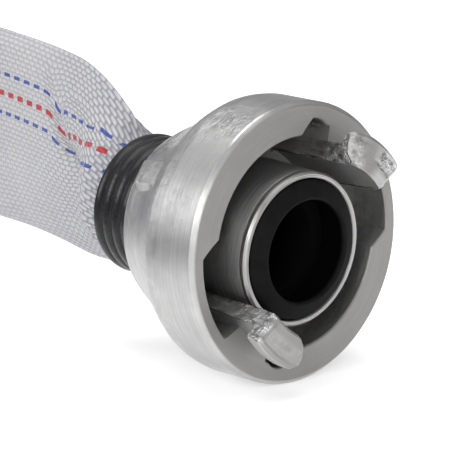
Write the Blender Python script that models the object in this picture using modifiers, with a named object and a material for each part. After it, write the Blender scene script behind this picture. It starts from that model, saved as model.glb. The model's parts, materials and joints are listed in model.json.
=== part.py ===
"""A layflat fire hose with a symmetric two-lug coupling on each end, wound into a flat roll.

The roll lies on its side on the ground, z = 0. One end leaves the roll's outer turn in a short
free stretch and carries the near coupling, which looks along +X. The other end starts in the
hole of the roll, where the far coupling looks along -X. The origin is the centre of the whole
object's footprint on the ground. All lengths are in metres.
"""

import math

import bmesh
import bpy
from mathutils import Matrix, Vector

# The hose: a charged bore of 25 mm, a 28 mm outside diameter, and its length with both couplings off.
HOSE_LENGTH = 15.0
HOSE_OUTSIDE = 0.028
HOSE_WIDTH = 0.0386
HOSE_THICKNESS = 0.0094

# The route, seen from above, about the roll's centre.
FAR_FACE_X = -0.040
FAR_AXIS_Y = 0.034
BEND_START_X = 0.010
BEND_RADIUS = 0.060
WHOLE_TURNS = 15
NEAR_FACE_X = 0.250
NEAR_RISE = 0.0125
RISE_LENGTH = 0.017
NEAR_FLAT_AFTER = 0.018
DROP_START_X = 0.155
DROP_END_X = 0.010
FLAT_AFTER = 0.060
SETTLED_AFTER = 0.080
# A free stretch is drawn in a little where it meets its binding, and its stations crowd together there.
END_TUCK = 0.94
STATION_CROWDING = 1.6

# Ties, and the gap that separates touching pieces.
TIE_WIDTH = 0.020
TIE_THICKNESS = 0.0012
TIE_Y = -0.030
GAP = 0.0003

# The lug ring, in its own frame: the axis is z, the front face is z = 0 and the mouth looks up.
RING_RADIUS = 0.0275
RING_CHAMFER = 0.0009
BAND_END_Z = -0.0110
RING_BACK_Z = -0.0295
RING_BACK_RADIUS = 0.0180
LIP_RADIUS = 0.0208
LIP_BACK_Z = -0.0060
CHAMBER_RADIUS = 0.0244
CHAMBER_BACK_Z = -0.0142
RING_BORE_RADIUS = 0.0135
RING_POCKET_RADIUS = 0.0162
RING_POCKET_Z = -0.0245
LUG_INNER_RADIUS = 0.0167
LUG_OUTER_RADIUS = 0.0204
LUG_HOOK_RADIUS = 0.0236
LUG_TIP_Z = 0.0090
LUG_HOOK_Z = 0.0058
# Each station is an angle in degrees and how far the lug's top is below its tip there.
LUG_STATIONS = (
    (34.5, 0.0016),
    (37.5, 0.0004),
    (41.0, 0.0),
    (48.0, 0.0),
    (55.0, 0.0),
    (62.0, 0.0),
    (70.5, 0.0014),
)
ROOT_OUTER_RADIUS = 0.0248
ROOT_END_DEG = 67.0
ENTRY_START_DEG = -3.0
ENTRY_END_DEG = 38.0
NOTCH_END_DEG = 84.0
NOTCH_RADIUS = 0.0240
OVERLAP_DEG = 0.7
BOSS_DEG = 143.0
BOSS_HALF_DEG = 7.0
BOSS_INNER_RADIUS = 0.0190
BOSS_BACK_RADIUS = 0.0214
BOSS_FRONT_RADIUS = 0.0252
BOSS_BACK_Z = -0.0262
BOSS_FRONT_Z = -0.0140

# The hose tail and what is clamped on it, in the same frame.
COLLAR_RADIUS = 0.0152
COLLAR_FRONT_Z = 0.0007
COLLAR_BACK_Z = -0.0139
SEAT_RADIUS = 0.0139
SEAT_BACK_Z = -0.0050
BORE_RADIUS = 0.0087
HUB_RADIUS = 0.0132
HUB_BACK_Z = -0.0290
SHANK_RADIUS = 0.0102
BARB_HEIGHT = 0.0002
CUFF_FRONT_Z = -0.0303
CUFF_BACK_Z = -0.0435
GASKET_FRONT_Z = 0.0010
GASKET_HOLE_RADIUS = 0.0101
SNAP_Z = -0.0270
SNAP_WIRE_RADIUS = 0.0008
SNAP_GROOVE_SHARE = 1.4
LINING_THICKNESS = 0.0006
JACKET_THICKNESS = 0.0009
WIRE_RADIUS = 0.00045
WIRE_TURNS = 5
SLEEVE_THICKNESS = 0.0006
LAYER_GAP = 0.0002

ROUND_STEPS = 36
HOSE_SIDES = 20

# Worked out from the sizes above.
TAIL_LENGTH = -CUFF_BACK_Z
BEND_CENTRE = Vector((BEND_START_X, FAR_AXIS_Y - BEND_RADIUS))
FIRST_TURN_RADIUS = BEND_CENTRE.length + BEND_RADIUS
BEND_EXIT = math.atan2(BEND_CENTRE.y, BEND_CENTRE.x)
TURNS = WHOLE_TURNS - (math.pi / 2 - BEND_EXIT) / math.tau
BEND_LENGTH = BEND_RADIUS * (math.pi / 2 - BEND_EXIT)
FAR_LEAD = BEND_START_X - FAR_FACE_X + CUFF_FRONT_Z
NEAR_LEAD = NEAR_FACE_X + CUFF_FRONT_Z
COILED_LENGTH = HOSE_LENGTH - FAR_LEAD - BEND_LENGTH - NEAR_LEAD
MEAN_TURN_RADIUS = COILED_LENGTH / (math.tau * TURNS)
LAST_TURN_RADIUS = 2 * MEAN_TURN_RADIUS - FIRST_TURN_RADIUS
ROLL_RADIUS = LAST_TURN_RADIUS + HOSE_THICKNESS / 2
HOLE_RADIUS = FIRST_TURN_RADIUS - HOSE_THICKNESS / 2
ROLL_BOTTOM_Z = TIE_THICKNESS + GAP
ROLL_MIDDLE_Z = ROLL_BOTTOM_Z + HOSE_WIDTH / 2
ROLL_TOP_Z = ROLL_BOTTOM_Z + HOSE_WIDTH
TIE_OUTER_RADIUS = ROLL_RADIUS + GAP + TIE_THICKNESS
ORIGIN_X = (NEAR_FACE_X + LUG_TIP_Z - TIE_OUTER_RADIUS) / 2
ORIGIN_Y = (LAST_TURN_RADIUS + RING_RADIUS - ROLL_RADIUS) / 2
ROLL_CENTRE = Vector((-ORIGIN_X, -ORIGIN_Y, 0.0))


# ---------------------------------------------------------------- scene and materials


def clear_scene():
    for obj in list(bpy.data.objects):
        bpy.data.objects.remove(obj, do_unlink=True)


def make_material(name, colour, roughness, metallic=0.0):
    material = bpy.data.materials.new(name)
    material.use_nodes = True
    shader = material.node_tree.nodes["Principled BSDF"]
    shader.inputs["Base Color"].default_value = (*colour, 1.0)
    shader.inputs["Roughness"].default_value = roughness
    shader.inputs["Metallic"].default_value = metallic
    return material


def make_materials():
    return {
        "cast": make_material("cast_aluminium", (0.62, 0.61, 0.59), 0.38, 1.0),
        "turned": make_material("turned_aluminium", (0.55, 0.54, 0.52), 0.30, 1.0),
        "steel": make_material("spring_steel", (0.52, 0.52, 0.53), 0.35, 1.0),
        "rubber": make_material("black_rubber", (0.018, 0.018, 0.019), 0.55),
        "lining": make_material("hose_lining", (0.045, 0.045, 0.045), 0.60),
        "sleeve": make_material("binding_sleeve", (0.015, 0.015, 0.016), 0.35),
        "jacket": make_material("woven_jacket", (0.80, 0.80, 0.81), 0.85),
        "strap": make_material("tie_webbing", (0.03, 0.03, 0.032), 0.80),
    }


def new_collection(name):
    collection = bpy.data.collections.new(name)
    bpy.context.scene.collection.children.link(collection)
    return collection


def new_empty(name, place, turn, collection):
    empty = bpy.data.objects.new(name, None)
    empty.location = place
    empty.rotation_euler = turn.to_euler()
    collection.objects.link(empty)
    return empty


def add_object(name, mesh, material, collection, parent=None):
    mesh.materials.append(material)
    mesh.shade_smooth()
    mesh.set_sharp_from_angle(angle=math.radians(35))
    obj = bpy.data.objects.new(name, mesh)
    obj.parent = parent
    collection.objects.link(obj)
    return obj


# ---------------------------------------------------------------- shapes


def turned_mesh(name, profile, steps=ROUND_STEPS):
    """A closed solid of revolution about z. The profile's (radius, z) points run down its outer side."""
    mesh = bpy.data.meshes.new(name)
    points = [(radius, 0.0, z) for radius, z in profile]
    edges = [(i, (i + 1) % len(points)) for i in range(len(points))]
    mesh.from_pydata(points, edges, [])
    obj = bpy.data.objects.new(name, mesh)
    bpy.context.scene.collection.objects.link(obj)
    screw = obj.modifiers.new("turn", "SCREW")
    screw.steps = steps
    screw.render_steps = steps
    screw.use_merge_vertices = True
    screw.merge_threshold = 0.00001
    return apply_modifiers(obj, name)


def apply_modifiers(obj, name):
    """The evaluated mesh of an object, which is then removed."""
    bpy.context.view_layer.update()
    evaluated = obj.evaluated_get(bpy.context.evaluated_depsgraph_get())
    mesh = bpy.data.meshes.new_from_object(evaluated)
    mesh.name = name
    bpy.data.objects.remove(obj, do_unlink=True)
    return mesh


def lofted_mesh(name, sections):
    """A solid through (angle in degrees, profile) sections round z, closed by flat ends."""
    count = len(sections[0][1])
    points = []
    for angle_deg, profile in sections:
        turn = Matrix.Rotation(math.radians(angle_deg), 3, "Z")
        points += [turn @ Vector((radius, 0.0, z)) for radius, z in profile]
    faces = [tuple(range(count)), tuple(reversed(range(len(points) - count, len(points))))]
    for i in range(len(sections) - 1):
        for j in range(count):
            k = (j + 1) % count
            faces.append((i * count + j, (i + 1) * count + j, (i + 1) * count + k, i * count + k))
    mesh = bpy.data.meshes.new(name)
    build = bmesh.new()
    mesh.from_pydata(points, [], faces)
    build.from_mesh(mesh)
    bmesh.ops.recalc_face_normals(build, faces=build.faces)
    build.to_mesh(mesh)
    build.free()
    return mesh


def sector_mesh(name, profile, start_deg, end_deg, steps=6):
    """Part of a solid of revolution about z, closed by flat ends."""
    step_deg = (end_deg - start_deg) / steps
    return lofted_mesh(name, [(start_deg + i * step_deg, profile) for i in range(steps + 1)])


def box_mesh(name, low, high):
    mesh = bpy.data.meshes.new(name)
    build = bmesh.new()
    bmesh.ops.create_cube(build, size=1.0)
    low = Vector(low)
    high = Vector(high)
    for vert in build.verts:
        vert.co = Vector((a + (b - a) * (c + 0.5) for a, b, c in zip(low, high, vert.co)))
    build.to_mesh(mesh)
    build.free()
    return mesh


def combine(name, body, cutters, additions, collection):
    """Cut the cutters from a mesh, then join the additions to it, with exact Booleans."""
    obj = bpy.data.objects.new(name, body)
    bpy.context.scene.collection.objects.link(obj)
    for operation, meshes in (("DIFFERENCE", cutters), ("UNION", additions)):
        for mesh in meshes:
            tool = bpy.data.objects.new(mesh.name, mesh)
            tool.hide_render = True
            tool.display_type = "WIRE"
            collection.objects.link(tool)
            step = obj.modifiers.new(mesh.name, "BOOLEAN")
            step.operation = operation
            step.solver = "EXACT"
            step.object = tool
    return apply_modifiers(obj, name)


def stadium(width, thickness):
    """The outline of a flattened tube, as (across, up) points, taller than it is thick."""
    points = []
    for i in range(HOSE_SIDES):
        angle = math.tau * (i + 0.5) / HOSE_SIDES
        shift = math.copysign((width - thickness) / 2, math.sin(angle))
        points.append((math.cos(angle) * thickness / 2, math.sin(angle) * thickness / 2 + shift))
    return points


def hose_mesh(name, stations):
    """A closed loft through (centre, heading, width, thickness) stations with upright sections."""
    mesh = bpy.data.meshes.new(name)
    build = bmesh.new()
    rings = []
    for centre, heading, width, thickness in stations:
        across = Vector((-math.sin(heading), math.cos(heading), 0.0))
        up = Vector((0.0, 0.0, 1.0))
        outline = stadium(width, thickness)
        rings.append([build.verts.new(centre + across * a + up * u) for a, u in outline])
    for first, second in zip(rings, rings[1:]):
        for i in range(HOSE_SIDES):
            j = (i + 1) % HOSE_SIDES
            build.faces.new((first[i], first[j], second[j], second[i]))
    build.faces.new(rings[0])
    build.faces.new(rings[-1])
    bmesh.ops.recalc_face_normals(build, faces=build.faces)
    build.to_mesh(mesh)
    build.free()
    return mesh


def wire_mesh(name, points, radius, collection):
    """A closed tube along a poly line, with its end caps welded on."""
    curve = bpy.data.curves.new(name, "CURVE")
    curve.dimensions = "3D"
    curve.bevel_depth = radius
    curve.bevel_resolution = 1
    curve.use_fill_caps = True
    spline = curve.splines.new("POLY")
    spline.points.add(len(points) - 1)
    for point, place in zip(spline.points, points):
        point.co = (*place, 1.0)
    obj = bpy.data.objects.new(name, curve)
    collection.objects.link(obj)
    mesh = apply_modifiers(obj, name)
    build = bmesh.new()
    build.from_mesh(mesh)
    bmesh.ops.remove_doubles(build, verts=build.verts, dist=0.00001)
    bmesh.ops.recalc_face_normals(build, faces=build.faces)
    build.to_mesh(mesh)
    build.free()
    return mesh


def smooth_step(amount):
    amount = min(max(amount, 0.0), 1.0)
    return amount * amount * (3.0 - 2.0 * amount)


# ---------------------------------------------------------------- the coupling


def opening_profile(radius):
    """A cutter's profile for an opening through the ring's lip, from its hole out to a radius."""
    inner = LIP_RADIUS - 0.0020
    low = LIP_BACK_Z - 0.0012
    high = 0.0010
    return [(inner, low), (radius, low), (radius, high), (inner, high)]


def lug_profile(drop):
    """A lug: a shank that rises from the chamber's floor, with a head that hooks outwards."""
    root_z = CHAMBER_BACK_Z - 0.0008
    tip_z = LUG_TIP_Z - drop
    return [
        (LUG_INNER_RADIUS, root_z),
        (LUG_OUTER_RADIUS, root_z),
        (LUG_OUTER_RADIUS, LUG_HOOK_Z),
        (LUG_HOOK_RADIUS, LUG_HOOK_Z + 0.0002),
        (LUG_HOOK_RADIUS, tip_z - 0.0006),
        (LUG_HOOK_RADIUS - 0.0008, tip_z),
        (LUG_INNER_RADIUS + 0.0006, tip_z),
        (LUG_INNER_RADIUS, tip_z - 0.0006),
    ]


def lug_ring_mesh(name, cutter_collection):
    """The swivel ring: a lipped flange with two hooked lugs, their entries, and two spanner bosses."""
    body = turned_mesh(
        f"{name}_body",
        [
            (LIP_RADIUS, 0.0),
            (RING_RADIUS - RING_CHAMFER, 0.0),
            (RING_RADIUS, -RING_CHAMFER),
            (RING_RADIUS, BAND_END_Z),
            (RING_RADIUS - 0.0006, BAND_END_Z - 0.0015),
            (RING_BACK_RADIUS + 0.0006, RING_BACK_Z + 0.0008),
            (RING_BACK_RADIUS, RING_BACK_Z),
            (RING_POCKET_RADIUS, RING_BACK_Z),
            (RING_POCKET_RADIUS, RING_POCKET_Z),
            (RING_BORE_RADIUS, RING_POCKET_Z),
            (RING_BORE_RADIUS, CHAMBER_BACK_Z),
            (CHAMBER_RADIUS, CHAMBER_BACK_Z),
            (CHAMBER_RADIUS, LIP_BACK_Z),
            (LIP_RADIUS, LIP_BACK_Z),
        ],
    )
    entry = opening_profile(CHAMBER_RADIUS - 0.0002)
    notch = opening_profile(NOTCH_RADIUS)
    root_z = CHAMBER_BACK_Z - 0.0005
    root_inner = LUG_INNER_RADIUS + 0.0010
    root = [
        (root_inner, root_z),
        (ROOT_OUTER_RADIUS, root_z),
        (ROOT_OUTER_RADIUS, -0.0003),
        (root_inner, -0.0003),
    ]
    boss = [
        (BOSS_INNER_RADIUS, BOSS_BACK_Z),
        (BOSS_BACK_RADIUS, BOSS_BACK_Z),
        (BOSS_FRONT_RADIUS, BOSS_FRONT_Z - 0.0030),
        (BOSS_FRONT_RADIUS, BOSS_FRONT_Z),
        (BOSS_INNER_RADIUS, BOSS_FRONT_Z),
    ]
    cutters = []
    additions = []
    for side, turn in (("a", 0.0), ("b", 180.0)):

        def add(pieces, kind, profile, start, end, steps):
            mesh = sector_mesh(f"{name}_{kind}_{side}", profile, start + turn, end + turn, steps)
            pieces.append(mesh)

        add(cutters, "entry", entry, ENTRY_START_DEG, ENTRY_END_DEG, 6)
        add(cutters, "notch", notch, ROOT_END_DEG - OVERLAP_DEG, NOTCH_END_DEG, 3)
        add(additions, "root", root, ENTRY_END_DEG - OVERLAP_DEG, ROOT_END_DEG, 4)
        lug = [(angle_deg + turn, lug_profile(drop)) for angle_deg, drop in LUG_STATIONS]
        additions.append(lofted_mesh(f"{name}_lug_{side}", lug))
        add(additions, "boss", boss, BOSS_DEG - BOSS_HALF_DEG, BOSS_DEG + BOSS_HALF_DEG, 2)
    return combine(name, body, cutters, additions, cutter_collection)


def hose_tail_mesh(name):
    """The spigot: a collar with the gasket's seat, a hub that the ring turns on, and a barbed shank."""
    groove_half = SNAP_WIRE_RADIUS * SNAP_GROOVE_SHARE
    groove_radius = HUB_RADIUS - SNAP_WIRE_RADIUS
    barbs = []
    barb_pitch = (CUFF_FRONT_Z - CUFF_BACK_Z) / 3
    for i in range(3):
        top = CUFF_FRONT_Z - i * barb_pitch
        barbs += [(SHANK_RADIUS + BARB_HEIGHT, top), (SHANK_RADIUS, top - barb_pitch * 0.8)]
    return turned_mesh(
        name,
        [
            (SEAT_RADIUS, COLLAR_FRONT_Z),
            (COLLAR_RADIUS, COLLAR_FRONT_Z),
            (COLLAR_RADIUS, COLLAR_BACK_Z),
            (HUB_RADIUS, COLLAR_BACK_Z),
            (HUB_RADIUS, SNAP_Z + groove_half),
            (groove_radius, SNAP_Z + groove_half),
            (groove_radius, SNAP_Z - groove_half),
            (HUB_RADIUS, SNAP_Z - groove_half),
            (HUB_RADIUS, HUB_BACK_Z),
            (SHANK_RADIUS, HUB_BACK_Z),
            *barbs,
            (SHANK_RADIUS, CUFF_BACK_Z),
            (BORE_RADIUS, CUFF_BACK_Z),
            (BORE_RADIUS, SEAT_BACK_Z),
            (SEAT_RADIUS, SEAT_BACK_Z),
        ],
    )


def gasket_mesh(name):
    """The rubber seal in the collar's seat, with a rounded lip round its hole."""
    outer = SEAT_RADIUS - LAYER_GAP
    back = SEAT_BACK_Z + LAYER_GAP
    return turned_mesh(
        name,
        [
            (GASKET_HOLE_RADIUS + 0.0006, GASKET_FRONT_Z),
            (outer - 0.0005, GASKET_FRONT_Z),
            (outer, GASKET_FRONT_Z - 0.0006),
            (outer, back),
            (GASKET_HOLE_RADIUS, back),
            (GASKET_HOLE_RADIUS, GASKET_FRONT_Z - 0.0007),
        ],
    )


def snap_ring_mesh(name, collection):
    """The split wire ring that stops the lug ring sliding back off the hub."""
    middle = HUB_RADIUS + 0.0006
    gap = math.radians(22)
    steps = 30
    points = []
    for i in range(steps + 1):
        angle = gap / 2 + (math.tau - gap) * i / steps
        points.append((middle * math.cos(angle), middle * math.sin(angle), SNAP_Z))
    return wire_mesh(name, points, SNAP_WIRE_RADIUS, collection)


def layer_mesh(name, inner, thickness):
    """One layer clamped round the shank."""
    outer = inner + thickness
    return turned_mesh(
        name,
        [(inner, CUFF_FRONT_Z), (outer, CUFF_FRONT_Z), (outer, CUFF_BACK_Z), (inner, CUFF_BACK_Z)],
    )


def binding_wire_mesh(name, inner, collection):
    """The soft wire wound round the jacket."""
    per_turn = 18
    middle = inner + WIRE_RADIUS
    start = CUFF_FRONT_Z - 2 * WIRE_RADIUS
    length = CUFF_FRONT_Z - CUFF_BACK_Z - 4 * WIRE_RADIUS
    count = WIRE_TURNS * per_turn
    points = []
    for i in range(count + 1):
        angle = math.tau * i / per_turn
        points.append((middle * math.cos(angle), middle * math.sin(angle), start - length * i / count))
    return wire_mesh(name, points, WIRE_RADIUS, collection)


def make_coupling(end, place, turn, materials, collection, cutter_collection):
    """A coupling and what clamps it into the hose's end, under an empty at its front face."""
    frame = new_empty(f"{end}_coupling_frame", place, turn, collection)

    def add(name, mesh, material):
        return add_object(f"{end}_{name}", mesh, materials[material], collection, frame)

    add("lug_ring", lug_ring_mesh(f"{end}_lug_ring", cutter_collection), "cast")
    add("hose_tail", hose_tail_mesh(f"{end}_hose_tail"), "turned")
    add("gasket", gasket_mesh(f"{end}_gasket"), "rubber")
    add("snap_ring", snap_ring_mesh(f"{end}_snap_ring", collection), "steel")
    inner = SHANK_RADIUS + BARB_HEIGHT + LAYER_GAP
    add("lining_cuff", layer_mesh(f"{end}_lining_cuff", inner, LINING_THICKNESS), "lining")
    inner += LINING_THICKNESS + LAYER_GAP
    add("jacket_cuff", layer_mesh(f"{end}_jacket_cuff", inner, JACKET_THICKNESS), "jacket")
    inner += JACKET_THICKNESS + LAYER_GAP
    add("binding_wire", binding_wire_mesh(f"{end}_binding_wire", inner, collection), "steel")
    inner += 2 * WIRE_RADIUS + LAYER_GAP
    add("binding_sleeve", layer_mesh(f"{end}_binding_sleeve", inner, SLEEVE_THICKNESS), "sleeve")
    return inner + SLEEVE_THICKNESS


# ---------------------------------------------------------------- the hose


def flattened(amount):
    """Width and thickness where a round end has flattened by this much, at the hose's own girth."""
    girth = math.pi * HOSE_OUTSIDE
    width = HOSE_OUTSIDE + (HOSE_WIDTH - HOSE_OUTSIDE) * amount
    return width, (girth - 2 * width) / (math.pi - 2)


def near_stretch_stations():
    """From the roll's last turn up over a low arch to the near binding, where the hose is round."""
    clear = math.sqrt((ROLL_RADIUS + GAP) ** 2 - (LAST_TURN_RADIUS - HOSE_THICKNESS / 2) ** 2)
    start_x = clear + 0.001
    end_x = NEAR_FACE_X - TAIL_LENGTH - GAP
    count = 24
    stations = []
    for i in range(count + 1):
        x = end_x - (end_x - start_x) * (1 - i / count) ** STATION_CROWDING
        behind = end_x - x
        arch = RING_RADIUS + NEAR_RISE * (1 - math.exp(-behind / RISE_LENGTH))
        drop = smooth_step((DROP_START_X - x) / (DROP_START_X - DROP_END_X))
        z = arch + (ROLL_MIDDLE_Z - arch) * drop
        flat = math.sin(math.pi / 2 * min(1.0, behind / NEAR_FLAT_AFTER))
        width, thickness = flattened(flat)
        tuck = END_TUCK if i == count else 1.0
        centre = ROLL_CENTRE + Vector((x, LAST_TURN_RADIUS, z))
        stations.append((centre, 0.0, width * tuck, thickness * tuck))
    return stations


def far_stretch_stations():
    """From the far binding round the tight bend to where the first turn lies on the roll."""
    start_x = FAR_FACE_X + TAIL_LENGTH + GAP
    straight = BEND_START_X - start_x
    centre_distance = BEND_CENTRE.length
    stop_radius = HOLE_RADIUS - GAP - HOSE_THICKNESS / 2
    cosine = (stop_radius**2 - centre_distance**2 - BEND_RADIUS**2) / (2 * centre_distance * BEND_RADIUS)
    bend = BEND_LENGTH - BEND_RADIUS * math.acos(cosine)
    count = 16
    stations = []
    for i in range(count + 1):
        along = (straight + bend) * i / count
        if along < straight:
            place = Vector((start_x + along, FAR_AXIS_Y))
            heading = 0.0
        else:
            angle = math.pi / 2 - (along - straight) / BEND_RADIUS
            place = BEND_CENTRE + BEND_RADIUS * Vector((math.cos(angle), math.sin(angle)))
            heading = angle - math.pi / 2
        settled = smooth_step(along / SETTLED_AFTER)
        z = RING_RADIUS + (ROLL_MIDDLE_Z - RING_RADIUS) * settled
        width, thickness = flattened(smooth_step(along / FLAT_AFTER))
        tuck = END_TUCK if i == 0 else 1.0
        centre = ROLL_CENTRE + Vector((place.x, place.y, z))
        stations.append((centre, heading, width * tuck, thickness * tuck))
    return stations


def roll_mesh(name):
    """The coiled turns as one turned ring about the roll's upright axis."""
    ease = 0.0030
    mesh = turned_mesh(
        name,
        [
            (HOLE_RADIUS + ease, ROLL_TOP_Z),
            (ROLL_RADIUS - ease, ROLL_TOP_Z),
            (ROLL_RADIUS, ROLL_TOP_Z - ease),
            (ROLL_RADIUS, ROLL_BOTTOM_Z + ease),
            (ROLL_RADIUS - ease, ROLL_BOTTOM_Z),
            (HOLE_RADIUS + ease, ROLL_BOTTOM_Z),
            (HOLE_RADIUS, ROLL_BOTTOM_Z + ease),
            (HOLE_RADIUS, ROLL_TOP_Z - ease),
        ],
        steps=72,
    )
    mesh.transform(Matrix.Translation(ROLL_CENTRE))
    return mesh


def tie_mesh(name, cutter_collection):
    """A flat strap drawn tight round the whole roll, over its top and under it, clear of the bend."""
    inner_x = ROLL_RADIUS + GAP
    inner_top = ROLL_TOP_Z + GAP
    outer_low = (-TIE_OUTER_RADIUS, TIE_Y - TIE_WIDTH / 2, 0.0)
    outer_high = (TIE_OUTER_RADIUS, TIE_Y + TIE_WIDTH / 2, inner_top + TIE_THICKNESS)
    window_low = (-inner_x, TIE_Y - TIE_WIDTH, TIE_THICKNESS)
    window_high = (inner_x, TIE_Y + TIE_WIDTH, inner_top)
    body = box_mesh(f"{name}_body", outer_low, outer_high)
    window = box_mesh(f"{name}_window", window_low, window_high)
    mesh = combine(name, body, [window], [], cutter_collection)
    mesh.transform(Matrix.Translation(ROLL_CENTRE))
    return mesh


def make_hose(materials, collection, cutter_collection):
    meshes = {
        "hose_near_stretch": hose_mesh("near_stretch", near_stretch_stations()),
        "hose_far_stretch": hose_mesh("far_stretch", far_stretch_stations()),
        "hose_roll": roll_mesh("roll"),
    }
    for name, mesh in meshes.items():
        add_object(name, mesh, materials["jacket"], collection)
    tie = tie_mesh("tie_strap", cutter_collection)
    add_object("tie_strap", tie, materials["strap"], collection)


def main():
    clear_scene()
    materials = make_materials()
    collection = new_collection("rolled_fire_hose")
    cutter_collection = new_collection("cutters")
    near_place = ROLL_CENTRE + Vector((NEAR_FACE_X, LAST_TURN_RADIUS, RING_RADIUS))
    far_place = ROLL_CENTRE + Vector((FAR_FACE_X, FAR_AXIS_Y, RING_RADIUS))
    # The coupling's z becomes the mouth's direction, and its x stays level, pointing to +Y or -Y.
    near_turn = Matrix(((0, 0, 1), (1, 0, 0), (0, 1, 0)))
    far_turn = Matrix(((0, 0, -1), (-1, 0, 0), (0, 1, 0)))
    make_coupling("near", near_place, near_turn, materials, collection, cutter_collection)
    make_coupling("far", far_place, far_turn, materials, collection, cutter_collection)
    make_hose(materials, collection, cutter_collection)
    for tool in list(cutter_collection.objects):
        bpy.data.objects.remove(tool, do_unlink=True)
    bpy.data.collections.remove(cutter_collection)


main()
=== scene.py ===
"""The looks of a rolled fire hose: a woven hose coiled on the floor, with a lug coupling bound to each end.

Sizes are in metres. A coupling is built about its own axis, z, with its mouth at z = 0, and then placed.
"""

import json
import math

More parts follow.
